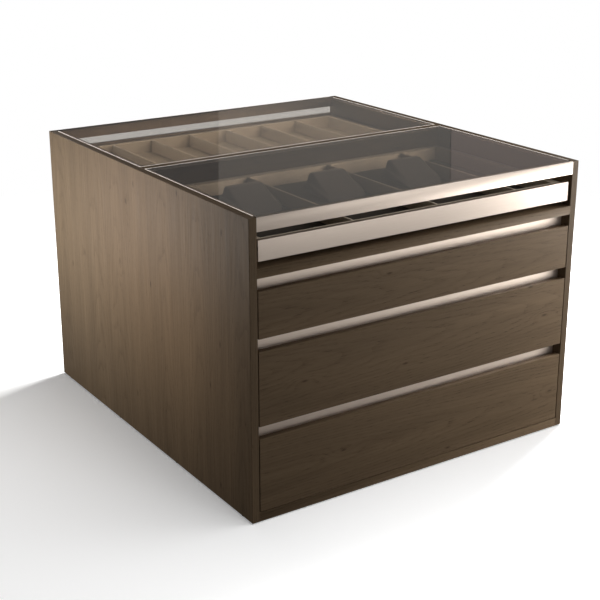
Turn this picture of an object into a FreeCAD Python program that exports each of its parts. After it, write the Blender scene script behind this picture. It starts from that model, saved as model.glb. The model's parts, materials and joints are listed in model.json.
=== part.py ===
import FreeCAD, Part
import os
import Sketcher
from enum import IntEnum
from types import SimpleNamespace

# Double-sided closet island: two veneered side panels carry a centre divider, a base and two
# shelves. Each side of the divider holds a jewellery drawer under a glass top and three wooden
# drawers, opened at recessed grip profiles.
# Frame: millimetres, origin on the floor at the centre of the footprint, X along the width,
# Z up. The front bank of drawers faces -Y. The rear bank is the same, turned half round, and
# faces +Y.

SHEET = "Dims"

# Driving dimensions, in millimetres apart from the counts.
SIZES = {
    # outer size
    "island_width": 1200,
    "island_depth": 1320,
    "island_height": 900,
    # carcass boards
    "side_thick": 24,
    "divider_thick": 28,
    "base_thick": 27,
    "shelf_thick": 27,
    "board_arris": 1,
    # glides under the carcass
    "glide_height": 3,
    "glide_dia": 20,
    "glide_inset": 60,
    # dowels between the side panels and the boards
    "dowel_dia": 8,
    "dowel_length": 30,
    "dowel_in_side": 13,
    "dowel_play": 0.1,
    "dowel_end_play": 0.5,
    "dowel_inset": 60,
    # glass top and its metal edging
    "glass_thick": 6,
    "rail_height": 40,
    "rail_depth": 20,
    "rail_wall": 2,
    "trim_lip": 3,
    "trim_height": 14,
    "ledge_width": 10,
    "ledge_thick": 2,
    # jewellery drawers
    "slit_height": 25,
    "jewel_front_height": 60,
    "jewel_front_thick": 14,
    "jewel_front_recess": 6,
    "jewel_side_gap": 8,
    "jewel_floor_gap": 18,
    "jewel_arris": 1,
    # wooden drawer fronts
    "grip_opening": 37,
    "upper_front_height": 137,
    "middle_front_height": 223,
    "front_gap": 3,
    "front_thick": 20,
    "front_arris": 0.8,
    # grip profiles
    "finger_gap": 15,
    "grip_wall": 1.5,
    "grip_drop": 24,
    "grip_lap": 12,
    "grip_flange": 14,
    "grip_lip": 6,
    "grip_bend": 8,
    "grip_clearance": 1,
    # drawer boxes
    "runner_space": 13,
    "box_wall": 14,
    "box_rear_gap": 4,
    "box_clearance": 4,
    "box_floor": 6,
    "box_floor_raise": 8,
    # telescopic runners
    "runner_height": 45,
    "runner_wall": 1.2,
    "runner_play": 0.4,
    "runner_reach": 11,
    "runner_length": 550,
    "runner_setback": 3,
    "runner_raise": 4,
    # countersunk screws through the carcass's runner members
    "screw_dia": 4,
    "screw_length": 14,
    "screw_play": 0.1,
    "screw_end_play": 0.5,
    "screw_first": 37,
    "screw_last": 65,
    # lined trays
    "tray_wall": 13,
    "tray_base": 3,
    "tray_top_drop": 7,
    "tray_divider": 8,
    # necklace busts
    "bust_length": 130,
    "bust_width": 164,
    "bust_height": 70,
    "bust_chest_width": 136,
    "bust_chest_height": 20,
    "bust_shoulder_reach": 84,
    "bust_shoulder_height": 52,
    "bust_collar_reach": 104,
    "bust_collar_width": 150,
    "bust_collar_height": 64,
    "bust_setback": 300,
    "bust_offset": 46,
}

# Counts of what repeats.
GLIDES_PER_ROW = 4
BASE_DOWELS = 6
SHELF_DOWELS = 3
DIVIDER_DOWELS = 4
RUNNER_SCREWS = 3
TRAY_BAYS = 7
BUST_BAYS = 3

CUT_PAST = 1  # how far a cutting block runs past the face that it opens
MATCH = 1e-3  # two places closer than this are the same place
UP = FreeCAD.Vector(0, 0, 1)
ALONG_Y = FreeCAD.Vector(0, 1, 0)
BANKS = (("front", False), ("rear", True))
SIDES = (-1, 1)

doc = FreeCAD.newDocument("closet_island")
nodes = []


class End(IntEnum):
    """Which end of a line or an arc a sketch's constraint holds."""

    START = 1
    FINISH = 2


ORIGIN = (-1, End.START)  # a sketch's own origin, as a constraint names it


class Size:
    """A length: its number, and the sheet expression that gives it."""

    def __init__(self, number, text):
        self.number = number
        self.text = text

    def __add__(self, other):
        other = as_size(other)
        return Size(self.number + other.number, f"({self.text} + {other.text})")

    def __sub__(self, other):
        other = as_size(other)
        return Size(self.number - other.number, f"({self.text} - {other.text})")

    def __mul__(self, other):
        other = as_size(other)
        return Size(self.number * other.number, f"({self.text} * {other.text})")

    def __truediv__(self, other):
        other = as_size(other)
        return Size(self.number / other.number, f"({self.text} / {other.text})")

    def __neg__(self):
        return Size(-self.number, f"(-1 * {self.text})")


def as_size(value):
    return value if isinstance(value, Size) else Size(value, str(value))


def write_sheet():
    """Puts the driving dimensions in the sheet and returns them by name."""
    sheet = doc.addObject("Spreadsheet::Sheet", SHEET)
    for row, (alias, number) in enumerate(SIZES.items(), start=1):
        sheet.set(f"A{row}", alias)
        sheet.set(f"B{row}", str(number))
        sheet.setAlias(f"B{row}", alias)
    doc.recompute()
    return SimpleNamespace(**{alias: Size(number, f"{SHEET}.{alias}") for alias, number in SIZES.items()})


d = write_sheet()


# ---------------------------------------------------------------- tools

def bind(thing, prop, value):
    thing.setExpression(prop, as_size(value).text)


def place(thing, x, y, z, turned=False):
    """Puts a thing at a point, or at that point turned half round the island's centre."""
    if turned:
        thing.Placement = FreeCAD.Placement(FreeCAD.Vector(), FreeCAD.Rotation(UP, 180))
        x = -as_size(x)
        y = -as_size(y)
    for axis, value in zip("xyz", (x, y, z)):
        bind(thing, f"Placement.Base.{axis}", value)


def block(name, x, y, z, turned=False):
    """A box between a low and a high place along each axis."""
    box = doc.addObject("Part::Box", name)
    for prop, (low, high) in zip(("Length", "Width", "Height"), (x, y, z)):
        bind(box, prop, high - low)
    place(box, x[0], y[0], z[0], turned)
    return box


def lay_along_x(thing, x, y, z):
    """Turns a thing that stands along Z to lie along X from a point."""
    thing.Placement = FreeCAD.Placement(FreeCAD.Vector(), FreeCAD.Rotation(ALONG_Y, 90))
    for axis, value in zip("xyz", (x, y, z)):
        bind(thing, f"Placement.Base.{axis}", value)


def rod(name, diameter, length, x, y, z):
    """A round bar along X from x."""
    bar = doc.addObject("Part::Cylinder", name)
    bind(bar, "Radius", diameter / 2)
    bind(bar, "Height", length)
    lay_along_x(bar, x, y, z)
    return bar


def cut(name, base, tool):
    result = doc.addObject("Part::Cut", name)
    result.Base = base
    result.Tool = tool
    return result


def fuse(name, base, tool):
    result = doc.addObject("Part::Fuse", name)
    result.Base = base
    result.Tool = tool
    return result


def group(name, members):
    """Separate solids under one name."""
    bundle = doc.addObject("Part::Compound", name)
    bundle.Links = members
    return bundle


def keep(node, thing):
    """Makes a thing a sub-part of the island, under its own name."""
    thing.Label = node
    nodes.append(thing)


def origin_plane(body, role):
    return next(plane for plane in body.Origin.OriginFeatures if plane.Role == role)


def add_sketch(body, role, offset):
    """An empty sketch on one of the body's planes, moved along the plane's normal by offset."""
    sketch = body.newObject("Sketcher::SketchObject", "Outline")
    sketch.AttachmentSupport = [(origin_plane(body, role), "")]
    sketch.MapMode = "FlatFace"
    bind(sketch, "AttachmentOffset.Base.z", offset)
    return sketch


def polygon(sketch, corners):
    """A closed outline, each corner held to the sketch's origin by its two distances."""
    first = sketch.GeometryCount
    count = len(corners)
    points = [FreeCAD.Vector(u.number, v.number, 0) for u, v in corners]
    for index in range(count):
        sketch.addGeometry(Part.LineSegment(points[index], points[(index + 1) % count]), False)
    for index in range(count):
        follows = first + (index + 1) % count
        sketch.addConstraint(Sketcher.Constraint("Coincident", first + index, End.FINISH, follows, End.START))
    for index, corner in enumerate(corners):
        for kind, value in zip(("DistanceX", "DistanceY"), corner):
            hold(sketch, kind, *ORIGIN, first + index, End.START, value)


def hold(sketch, kind, *terms):
    """A constraint whose last term is a size from the sheet."""
    value = terms[-1]
    index = sketch.addConstraint(Sketcher.Constraint(kind, *terms[:-1], value.number))
    bind(sketch, f"Constraints[{index}]", value)


def rectangle(low_u, high_u, low_v, high_v):
    return [(low_u, low_v), (high_u, low_v), (high_u, high_v), (low_u, high_v)]


def pad(body, sketch, length, flip=False):
    feature = body.newObject("PartDesign::Pad", "Pad")
    feature.Profile = sketch
    feature.Reversed = flip
    bind(feature, "Length", length)
    sketch.Visibility = False
    return feature


def edges_where(feature, wanted):
    """Names of the feature's edges whose two ends both pass a test."""
    doc.recompute()
    found = enumerate(feature.Shape.Edges, start=1)
    return [f"Edge{number}" for number, edge in found if all(wanted(end.Point) for end in edge.Vertexes)]


def dress(body, kind, feature, edges, prop, size):
    """Rounds or bevels the named edges of a body's feature."""
    dressing = body.newObject(f"PartDesign::{kind}", kind)
    dressing.Base = (feature, edges)
    bind(dressing, prop, size)
    body.Tip = dressing
    return dressing


def same(first, second):
    return abs(first - second.number) < MATCH


# ---------------------------------------------------------------- places that pieces share

half_width = d.island_width / 2
half_depth = d.island_depth / 2
inner_half = half_width - d.side_thick  # from the centre to a side panel's inner face
base_top = d.glide_height + d.base_thick
divider_face = -(d.divider_thick / 2)  # the face of the divider that the front bank meets

rail_bottom = d.island_height - d.rail_height
jewel_top = rail_bottom - d.slit_height
jewel_bottom = jewel_top - d.jewel_front_height
shelf_top = jewel_bottom - d.jewel_floor_gap
shelf_bottom = shelf_top - d.shelf_thick

# Low and high edge of each wooden drawer's front, and the board or front above its grip.
upper_top = shelf_bottom - d.grip_opening
upper_bottom = upper_top - d.upper_front_height
middle_top = upper_bottom - d.grip_opening
middle_bottom = middle_top - d.middle_front_height
lower_top = middle_bottom - d.grip_opening
lower_bottom = base_top + d.front_gap
DRAWERS = (
    ("upper", upper_bottom, upper_top, shelf_bottom),
    ("middle", middle_bottom, middle_top, upper_bottom + d.grip_lap),
    ("lower", lower_bottom, lower_top, middle_bottom + d.grip_lap),
)

# Depths of the front bank, from its face at -Y towards the divider.
face = -half_depth
front_back = face + d.front_thick
jewel_face = face + d.jewel_front_recess
jewel_back = jewel_face + d.jewel_front_thick
grip_face = front_back + d.finger_gap
box_back = divider_face - d.box_rear_gap
box_half = inner_half - d.runner_space

# Inside of the lined tray.
floor_top = jewel_bottom + d.box_floor
tray_floor = floor_top + d.tray_base
tray_top = jewel_top - d.tray_top_drop
lining_half = box_half - d.box_wall
tray_half = lining_half - d.tray_wall
lining_front = jewel_back + d.box_wall
lining_back = box_back - d.box_wall
tray_front = lining_front + d.tray_wall
tray_back = lining_back - d.tray_wall
bay_pitch = tray_half * 2 / TRAY_BAYS


def box_level(front_bottom):
    """The underside of a wooden drawer's box, above the grip profile of the drawer below."""
    return front_bottom + d.grip_lap + d.box_clearance


# Where each drawer of a bank meets its front's back, and its box's underside.
RUNNER_LINES = [(jewel_back, jewel_bottom)]
RUNNER_LINES += [(front_back, box_level(bottom)) for drawer, bottom, top, grip_top in DRAWERS]


def spread(low, high, count, index):
    """The place of one of count things set evenly from low to high."""
    return low + (high - low) * index / (count - 1)


def from_side(side, near, far):
    """The X range of what lies from near to far inside a side panel's inner face."""
    if side < 0:
        return (near - inner_half, far - inner_half)
    return (inner_half - far, inner_half - near)


# ---------------------------------------------------------------- carcass

def dowel_places():
    """Y and Z of each dowel at either end of the boards."""
    inset = half_depth - d.dowel_inset
    base_middle = d.glide_height + d.base_thick / 2
    shelf_middle = shelf_bottom + d.shelf_thick / 2
    places = [(spread(-inset, inset, BASE_DOWELS, i), base_middle) for i in range(BASE_DOWELS)]
    near = divider_face - d.dowel_inset
    for i in range(SHELF_DOWELS):
        y = spread(-inset, near, SHELF_DOWELS, i)
        places += [(y, shelf_middle), (-y, shelf_middle)]
    low = base_top + d.dowel_inset
    high = d.island_height - d.dowel_inset
    for i in range(DIVIDER_DOWELS):
        places.append((as_size(0), spread(low, high, DIVIDER_DOWELS, i)))
    return places


def make_dowels(name, diameter, end_play):
    """Bars at every dowel's place, on both sides of the island."""
    bars = []
    length = d.dowel_length + end_play * 2
    for side in SIDES:
        if side < 0:
            start = -inner_half - d.dowel_in_side - end_play
        else:
            start = inner_half + d.dowel_in_side + end_play - length
        for y, z in dowel_places():
            bars.append(rod(name, diameter, length, start, y, z))
    return group(name, bars)


def make_screw(name, side, y, z, play, end_play):
    """A countersunk screw from a runner's web into the side panel, its head flush in the web."""
    shank = d.screw_dia / 2 + play
    head = shank + d.runner_wall
    depth = d.screw_length + end_play
    cone = doc.addObject("Part::Cone", name)
    if side < 0:
        start = -inner_half - depth
        cone_x = -inner_half
        radii = (shank, head)
    else:
        start = inner_half
        cone_x = inner_half - d.runner_wall
        radii = (head, shank)
    for prop, value in zip(("Radius1", "Radius2", "Height"), (*radii, d.runner_wall)):
        bind(cone, prop, value)
    lay_along_x(cone, cone_x, y, z)
    return fuse(name, rod(name, shank * 2, depth, start, y, z), cone)


def make_screws(name, turned, play, end_play):
    """The screws of one bank's runners, on both sides of the island."""
    screws = []
    for front, box_bottom in RUNNER_LINES:
        start = front + d.runner_setback
        z = box_bottom + d.runner_raise + d.runner_height / 2
        for i in range(RUNNER_SCREWS):
            y = spread(start + d.screw_first, start + d.runner_length - d.screw_last, RUNNER_SCREWS, i)
            if turned:
                y = -y
            for side in SIDES:
                screws.append(make_screw(name, side, y, z, play, end_play))
    return group(name, screws)


def make_side_panel(node, turned, holes):
    """A side panel, drawn on its inner face and bevelled round its outer face."""
    body = doc.addObject("PartDesign::Body", "SidePanelBody")
    sketch = add_sketch(body, "YZ_Plane", 0)
    polygon(sketch, rectangle(-half_depth, half_depth, d.glide_height, d.island_height))
    board = pad(body, sketch, d.side_thick, flip=True)
    outer = edges_where(board, lambda end: same(end.x, -d.side_thick))
    dress(body, "Chamfer", board, outer, "Size", d.board_arris)
    place(body, -inner_half, 0, 0, turned)
    keep(node, cut("SidePanel", body, holes))


def make_carcass(screw_holes):
    holes = make_dowels("DowelHoles", d.dowel_dia + d.dowel_play * 2, d.dowel_end_play)
    side_holes = group("SideHoles", [holes, *screw_holes])
    make_side_panel("side_panel_left", False, side_holes)
    make_side_panel("side_panel_right", True, side_holes)

    across = (-inner_half, inner_half)
    base = block("BaseBoard", across, (-half_depth, half_depth), (d.glide_height, base_top))
    keep("base_panel", cut("BasePanel", base, holes))
    upright = block("DividerBoard", across, (divider_face, -divider_face), (base_top, d.island_height))
    keep("centre_divider", cut("CentreDivider", upright, holes))
    for bank, turned in BANKS:
        shelf = block("ShelfBoard", across, (face, divider_face), (shelf_bottom, shelf_top), turned)
        keep(f"shelf_{bank}", cut("Shelf", shelf, holes))

    keep("carcass_dowels", make_dowels("Dowels", d.dowel_dia, as_size(0)))


def make_glides():
    """Plastic glides in rows under the side panels and the base."""
    side_line = half_width - d.side_thick / 2
    end_line = half_depth - d.glide_inset
    glides = []
    for column in range(GLIDES_PER_ROW):
        for row in range(GLIDES_PER_ROW):
            glide = doc.addObject("Part::Cylinder", "Glide")
            bind(glide, "Radius", d.glide_dia / 2)
            bind(glide, "Height", d.glide_height)
            x = spread(-side_line, side_line, GLIDES_PER_ROW, column)
            y = spread(-end_line, end_line, GLIDES_PER_ROW, row)
            place(glide, x, y, 0)
            glides.append(glide)
    keep("floor_glides", group("FloorGlides", glides))


# ---------------------------------------------------------------- glass top

def make_top_rail(bank, turned):
    """The hollow rail over the slit, with a rebate that the glass lies in."""
    body = doc.addObject("PartDesign::Body", "TopRail")
    sketch = add_sketch(body, "YZ_Plane", -inner_half)
    back = face + d.rail_depth
    glass_seat = d.island_height - d.glass_thick
    polygon(sketch, [
        (face, rail_bottom),
        (back, rail_bottom),
        (back, glass_seat),
        (face + d.trim_lip, glass_seat),
        (face + d.trim_lip, d.island_height),
        (face, d.island_height),
    ])
    hollow_y = (face + d.trim_lip, back - d.rail_wall)
    hollow_z = (rail_bottom + d.rail_wall, glass_seat - d.rail_wall)
    polygon(sketch, rectangle(*hollow_y, *hollow_z))
    pad(body, sketch, inner_half * 2)
    place(body, 0, 0, 0, turned)
    keep(f"top_rail_{bank}", body)


def make_glass_trim(bank, turned):
    """Metal angles that edge the glass along both sides and the divider."""
    upright_z = (d.island_height - d.trim_height, d.island_height)
    glass_seat = d.island_height - d.glass_thick
    ledge_z = (glass_seat - d.ledge_thick, glass_seat)
    rail_back = face + d.rail_depth
    lip_face = divider_face - d.trim_lip
    angles = []
    for side in SIDES:
        lip_x = from_side(side, as_size(0), d.trim_lip)
        ledge_x = from_side(side, d.trim_lip, d.trim_lip + d.ledge_width)
        lip = block("SideLip", lip_x, (rail_back, divider_face), upright_z, turned)
        ledge = block("SideLedge", ledge_x, (rail_back, lip_face), ledge_z, turned)
        angles.append(fuse("SideAngle", lip, ledge))
    lip_half = inner_half - d.trim_lip
    ledge_half = lip_half - d.ledge_width
    lip = block("DividerLip", (-lip_half, lip_half), (lip_face, divider_face), upright_z, turned)
    ledge_y = (lip_face - d.ledge_width, lip_face)
    ledge = block("DividerLedge", (-ledge_half, ledge_half), ledge_y, ledge_z, turned)
    angles.append(fuse("DividerAngle", lip, ledge))
    keep(f"glass_trim_{bank}", group("GlassTrim", angles))


def make_glass(bank, turned):
    pane_half = inner_half - d.trim_lip
    pane_y = (face + d.trim_lip, divider_face - d.trim_lip)
    pane_z = (d.island_height - d.glass_thick, d.island_height)
    keep(f"glass_top_{bank}", block("GlassTop", (-pane_half, pane_half), pane_y, pane_z, turned))


# ---------------------------------------------------------------- grip profiles

def make_grip(bank, turned, drawer, front_top, top):
    """A channel across the carcass behind a drawer front's top edge, for the fingers."""
    body = doc.addObject("PartDesign::Body", "GripProfile")
    sketch = add_sketch(body, "YZ_Plane", -inner_half)
    wall = d.grip_wall
    bottom = front_top - d.grip_drop
    lip_face = front_back + d.grip_clearance
    lip_top = bottom + d.grip_lip
    flange_end = grip_face + d.grip_flange
    polygon(sketch, [
        (grip_face, top),
        (grip_face, bottom + wall),
        (lip_face + wall, bottom + wall),
        (lip_face + wall, lip_top),
        (lip_face, lip_top),
        (lip_face, bottom),
        (grip_face + wall, bottom),
        (grip_face + wall, top - wall),
        (flange_end, top - wall),
        (flange_end, top),
    ])
    channel = pad(body, sketch, inner_half * 2)
    inner = edges_where(channel, lambda end: same(end.y, grip_face) and same(end.z, bottom + wall))
    rounded = dress(body, "Fillet", channel, inner, "Radius", d.grip_bend)
    outer = edges_where(rounded, lambda end: same(end.y, grip_face + wall) and same(end.z, bottom))
    dress(body, "Fillet", rounded, outer, "Radius", d.grip_bend + wall)
    place(body, 0, 0, 0, turned)
    keep(f"grip_profile_{bank}_{drawer}", body)


# ---------------------------------------------------------------- drawers

def make_front(node, turned, half, back, thick, z, arris):
    """A flat drawer front, its outer edges rounded."""
    body = doc.addObject("PartDesign::Body", "DrawerFront")
    sketch = add_sketch(body, "XZ_Plane", -back)
    polygon(sketch, rectangle(-half, half, z[0], z[1]))
    panel = pad(body, sketch, thick)
    outer = edges_where(panel, lambda end: same(end.y, back - thick))
    dress(body, "Fillet", panel, outer, "Radius", arris)
    place(body, 0, 0, 0, turned)
    keep(node, body)


def make_box(node, turned, front, z, floor_z):
    """A drawer box: two sides, a front and a back wall between them, and a floor."""
    inside = box_half - d.box_wall
    walls = [block("BoxSide", (-box_half, -inside), (front, box_back), z, turned)]
    walls.append(block("BoxSide", (inside, box_half), (front, box_back), z, turned))
    front_inside = front + d.box_wall
    back_inside = box_back - d.box_wall
    walls.append(block("BoxFront", (-inside, inside), (front, front_inside), z, turned))
    walls.append(block("BoxBack", (-inside, inside), (back_inside, box_back), z, turned))
    walls.append(block("BoxFloor", (-inside, inside), (front_inside, back_inside), floor_z, turned))
    keep(node, group("DrawerBox", walls))


def make_channel(side, near, far, web_near, y, z, turned):
    """A runner's channel: a web on one side and a flange along its top and bottom."""
    whole = block("ChannelBlock", from_side(side, near, far), y, z, turned)
    if web_near:
        hollow_x = from_side(side, near + d.runner_wall, far + CUT_PAST)
    else:
        hollow_x = from_side(side, near - CUT_PAST, far - d.runner_wall)
    hollow_y = (y[0] - CUT_PAST, y[1] + CUT_PAST)
    hollow_z = (z[0] + d.runner_wall, z[1] - d.runner_wall)
    return cut("Channel", whole, block("ChannelHollow", hollow_x, hollow_y, hollow_z, turned))


def make_runners(bank, turned, drawer, front, box_bottom):
    """A drawer's pair of runners: its own members, the middle ones and those on the carcass."""
    start = front + d.runner_setback
    y = (start, start + d.runner_length)
    low = box_bottom + d.runner_raise
    high = low + d.runner_height
    step = d.runner_wall + d.runner_play
    middle_z = (low + step, high - step)
    drawer_z = (low + step * 2, high - step * 2)
    middle_far = d.runner_reach + d.runner_play
    fixed = []
    middle = []
    moving = []
    for side in SIDES:
        fixed.append(make_channel(side, as_size(0), d.runner_reach, True, y, (low, high), turned))
        middle.append(make_channel(side, step, middle_far, True, y, middle_z, turned))
        moving.append(make_channel(side, step * 2, d.runner_space, False, y, drawer_z, turned))
    keep(f"middle_runners_{bank}_{drawer}", group("MiddleRunners", middle))
    keep(f"drawer_runners_{bank}_{drawer}", group("DrawerRunners", moving))
    return fixed


def make_wooden_drawer(bank, turned, drawer, bottom, top):
    front_half = inner_half - d.front_gap
    make_front(f"drawer_front_{bank}_{drawer}", turned, front_half, front_back, d.front_thick,
               (bottom, top), d.front_arris)
    box_bottom = box_level(bottom)
    box_top = top - d.grip_drop - d.box_clearance
    floor_low = box_bottom + d.box_floor_raise
    floor_z = (floor_low, floor_low + d.box_floor)
    make_box(f"drawer_box_{bank}_{drawer}", turned, front_back, (box_bottom, box_top), floor_z)
    return make_runners(bank, turned, drawer, front_back, box_bottom)


def make_tray(bank, turned, divider_bays):
    """The lined insert of a jewellery drawer, with a divider after each of the given bays."""
    lining_x = (-lining_half, lining_half)
    lining_y = (lining_front, lining_back)
    wall_z = (tray_floor, tray_top)
    lining = [block("TrayBase", lining_x, lining_y, (floor_top, tray_floor), turned)]
    lining.append(block("TrayWall", (-lining_half, -tray_half), lining_y, wall_z, turned))
    lining.append(block("TrayWall", (tray_half, lining_half), lining_y, wall_z, turned))
    lining.append(block("TrayWall", (-tray_half, tray_half), (lining_front, tray_front), wall_z, turned))
    lining.append(block("TrayWall", (-tray_half, tray_half), (tray_back, lining_back), wall_z, turned))
    keep(f"tray_lining_{bank}", group("TrayLining", lining))

    dividers = []
    for bay in divider_bays:
        middle = bay_pitch * bay - tray_half
        x = (middle - d.tray_divider / 2, middle + d.tray_divider / 2)
        dividers.append(block("TrayDivider", x, (tray_front, tray_back), wall_z, turned))
    keep(f"tray_dividers_{bank}", group("TrayDividers", dividers))


def make_jewel_drawer(bank, turned, divider_bays):
    front_half = inner_half - d.jewel_side_gap
    make_front(f"jewel_front_{bank}", turned, front_half, jewel_back, d.jewel_front_thick,
               (jewel_bottom, jewel_top), d.jewel_arris)
    make_box(f"jewel_box_{bank}", turned, jewel_back, (jewel_bottom, tray_top), (jewel_bottom, floor_top))
    make_tray(bank, turned, divider_bays)
    return make_runners(bank, turned, "jewel", jewel_back, jewel_bottom)


# ---------------------------------------------------------------- necklace busts

def arch(body, reach, width, height):
    """A sketch across the bust: a flat underside and one arc over it, reach behind its chest."""
    sketch = add_sketch(body, "XZ_Plane", -reach)
    radius = (width * width / 4 + height * height) / (height * 2)
    half = width.number / 2
    left = FreeCAD.Vector(-half, 0, 0)
    right = FreeCAD.Vector(half, 0, 0)
    crown = FreeCAD.Vector(0, height.number, 0)
    line = sketch.addGeometry(Part.LineSegment(left, right), False)
    bow = sketch.addGeometry(Part.Arc(right, crown, left), False)
    sketch.addConstraint(Sketcher.Constraint("Coincident", line, End.FINISH, bow, End.START))
    sketch.addConstraint(Sketcher.Constraint("Coincident", line, End.START, bow, End.FINISH))
    sketch.addConstraint(Sketcher.Constraint("Symmetric", line, End.START, line, End.FINISH, *ORIGIN))
    sketch.addConstraint(Sketcher.Constraint("Horizontal", line))
    hold(sketch, "DistanceX", line, End.START, line, End.FINISH, width)
    hold(sketch, "Radius", bow, radius)
    return sketch


def make_bust(bay):
    """A display bust lying on the tray's floor in a double bay, chest to the front, collar raised."""
    body = doc.addObject("PartDesign::Body", "Bust")
    sections = [
        arch(body, as_size(0), d.bust_chest_width, d.bust_chest_height),
        arch(body, d.bust_shoulder_reach, d.bust_width, d.bust_shoulder_height),
        arch(body, d.bust_collar_reach, d.bust_collar_width, d.bust_collar_height),
        arch(body, d.bust_length, d.bust_collar_width, d.bust_height),
    ]
    loft = body.newObject("PartDesign::AdditiveLoft", "Loft")
    loft.Profile = sections[0]
    loft.Sections = sections[1:]
    loft.Ruled = True
    bay_centre = bay_pitch * (bay * 2 + 1) - tray_half
    place(body, bay_centre + d.bust_offset, tray_front + d.bust_setback, tray_floor)
    return body


# ---------------------------------------------------------------- the island

def check_document():
    """Stops on any object that failed and on any sub-part that isn't a valid solid."""
    doc.recompute()
    failed = [thing.Label for thing in doc.Objects if {"Invalid", "Error"} & set(thing.State)]
    if failed:
        raise RuntimeError(f"these objects failed: {failed}")
    for thing in nodes:
        if thing.Shape.isNull() or not thing.Shape.isValid() or not thing.Shape.Solids:
            raise RuntimeError(f"{thing.Label} is not a valid solid")


def export():
    os.makedirs("parts", exist_ok=True)
    for thing in nodes:
        thing.Shape.exportStep(f"parts/{thing.Label}.step")


screw_holes = {}
for bank, turned in BANKS:
    screw_holes[bank] = make_screws("ScrewHoles", turned, d.screw_play, d.screw_end_play)
make_carcass(screw_holes.values())
make_glides()
screws = []
for bank, turned in BANKS:
    make_top_rail(bank, turned)
    make_glass_trim(bank, turned)
    make_glass(bank, turned)
    # The front tray has double bays for the busts and one single bay. The rear has single bays.
    divider_bays = range(2, TRAY_BAYS, 2) if bank == "front" else range(1, TRAY_BAYS)
    fixed_runners = make_jewel_drawer(bank, turned, divider_bays)
    for drawer, bottom, top, grip_top in DRAWERS:
        make_grip(bank, turned, drawer, top, grip_top)
        fixed_runners += make_wooden_drawer(bank, turned, drawer, bottom, top)
    runners = group("CabinetRunners", fixed_runners)
    keep(f"cabinet_runners_{bank}", cut("DrilledRunners", runners, screw_holes[bank]))
    screws.append(make_screws("BankScrews", turned, as_size(0), as_size(0)))
keep("runner_screws", group("RunnerScrews", screws))
keep("necklace_busts", group("NecklaceBusts", [make_bust(bay) for bay in range(BUST_BAYS)]))

check_document()
export()
print(len(nodes), "sub-parts")
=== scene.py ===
"""Finishes, softened pieces, velvet busts and studio for the closet island with drawers.

Metres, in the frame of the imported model: +Z up, the front bank of drawers faces -Y, and the
origin is on the floor under the middle of the island.
"""
import json
import math

import bmesh
import bpy
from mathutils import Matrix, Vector

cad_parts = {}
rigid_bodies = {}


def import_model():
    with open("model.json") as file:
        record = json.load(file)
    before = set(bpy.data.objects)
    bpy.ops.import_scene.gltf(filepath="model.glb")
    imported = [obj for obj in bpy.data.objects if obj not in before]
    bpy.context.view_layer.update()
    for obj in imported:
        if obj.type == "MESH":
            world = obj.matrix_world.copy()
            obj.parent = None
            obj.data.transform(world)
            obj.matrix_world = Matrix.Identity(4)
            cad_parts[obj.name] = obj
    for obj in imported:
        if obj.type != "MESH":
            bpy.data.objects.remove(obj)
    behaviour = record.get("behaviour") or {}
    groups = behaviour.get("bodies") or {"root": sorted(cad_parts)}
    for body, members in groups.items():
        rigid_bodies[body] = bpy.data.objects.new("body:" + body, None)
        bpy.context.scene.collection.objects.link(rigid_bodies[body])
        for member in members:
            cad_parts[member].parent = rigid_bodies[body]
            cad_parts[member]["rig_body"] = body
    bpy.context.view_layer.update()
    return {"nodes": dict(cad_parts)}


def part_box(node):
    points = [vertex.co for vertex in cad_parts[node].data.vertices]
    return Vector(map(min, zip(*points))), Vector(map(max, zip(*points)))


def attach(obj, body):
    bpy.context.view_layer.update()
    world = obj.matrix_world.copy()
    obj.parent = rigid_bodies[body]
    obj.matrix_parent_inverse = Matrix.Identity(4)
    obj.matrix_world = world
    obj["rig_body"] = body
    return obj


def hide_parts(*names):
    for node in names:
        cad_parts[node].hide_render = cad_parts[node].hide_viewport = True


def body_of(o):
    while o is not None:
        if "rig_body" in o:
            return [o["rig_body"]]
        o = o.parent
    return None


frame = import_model()

MM = 0.001
X, Y, Z = range(3)
SHOWN = bpy.context.scene.collection


# ---------------------------------------------------------------- node and colour helpers

# Sockets of a Mix node that is set to colour. Sockets that share a name, such as Math's, go by number.
FACTOR, COLOUR_A, COLOUR_B = 0, 6, 7
MIXED = 2
NOISE_LOW, NOISE_HIGH = 0.3, 0.7    # most of a noise texture's levels lie between these


def linear(hex_colour):
    """Linear RGBA of an sRGB hex colour."""
    channels = [int(hex_colour[i:i + 2], 16) / 255 for i in (1, 3, 5)]
    rgb = [c / 12.92 if c <= 0.04045 else ((c + 0.055) / 1.055) ** 2.4 for c in channels]
    return (*rgb, 1.0)


WHITE = linear("#FFFFFF")
BLACK = linear("#000000")


def add_node(tree, kind, settings=None, inputs=None):
    """Add a node of one kind; an input takes a value, or the output that is linked to it."""
    node = tree.nodes.new(kind)
    for name, value in (settings or {}).items():
        setattr(node, name, value)
    for name, value in (inputs or {}).items():
        if isinstance(value, bpy.types.NodeSocket):
            tree.links.new(value, node.inputs[name])
        else:
            node.inputs[name].default_value = value
    return node


def new_tree(block):
    """The emptied node tree of a material or world."""
    block.use_nodes = True
    block.node_tree.nodes.clear()
    return block.node_tree


def new_material(name):
    """A material, its emptied node tree, and the place on the object in metres."""
    material = bpy.data.materials.new(name)
    tree = new_tree(material)
    return material, tree, add_node(tree, "ShaderNodeTexCoord").outputs["Object"]


def long_marks(tree, place, axis, along, across, detail):
    """Noise in marks of one length along an axis and one width across it, in metres."""
    scale = [1 / across] * 3
    scale[axis] = 1 / along
    drawn_out = add_node(tree, "ShaderNodeMapping", {}, {"Vector": place, "Scale": scale})
    return add_node(tree, "ShaderNodeTexNoise", {}, {
        "Vector": drawn_out.outputs[0], "Scale": 1.0, "Detail": detail}).outputs[0]


# ---------------------------------------------------------------- stained oak

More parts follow.
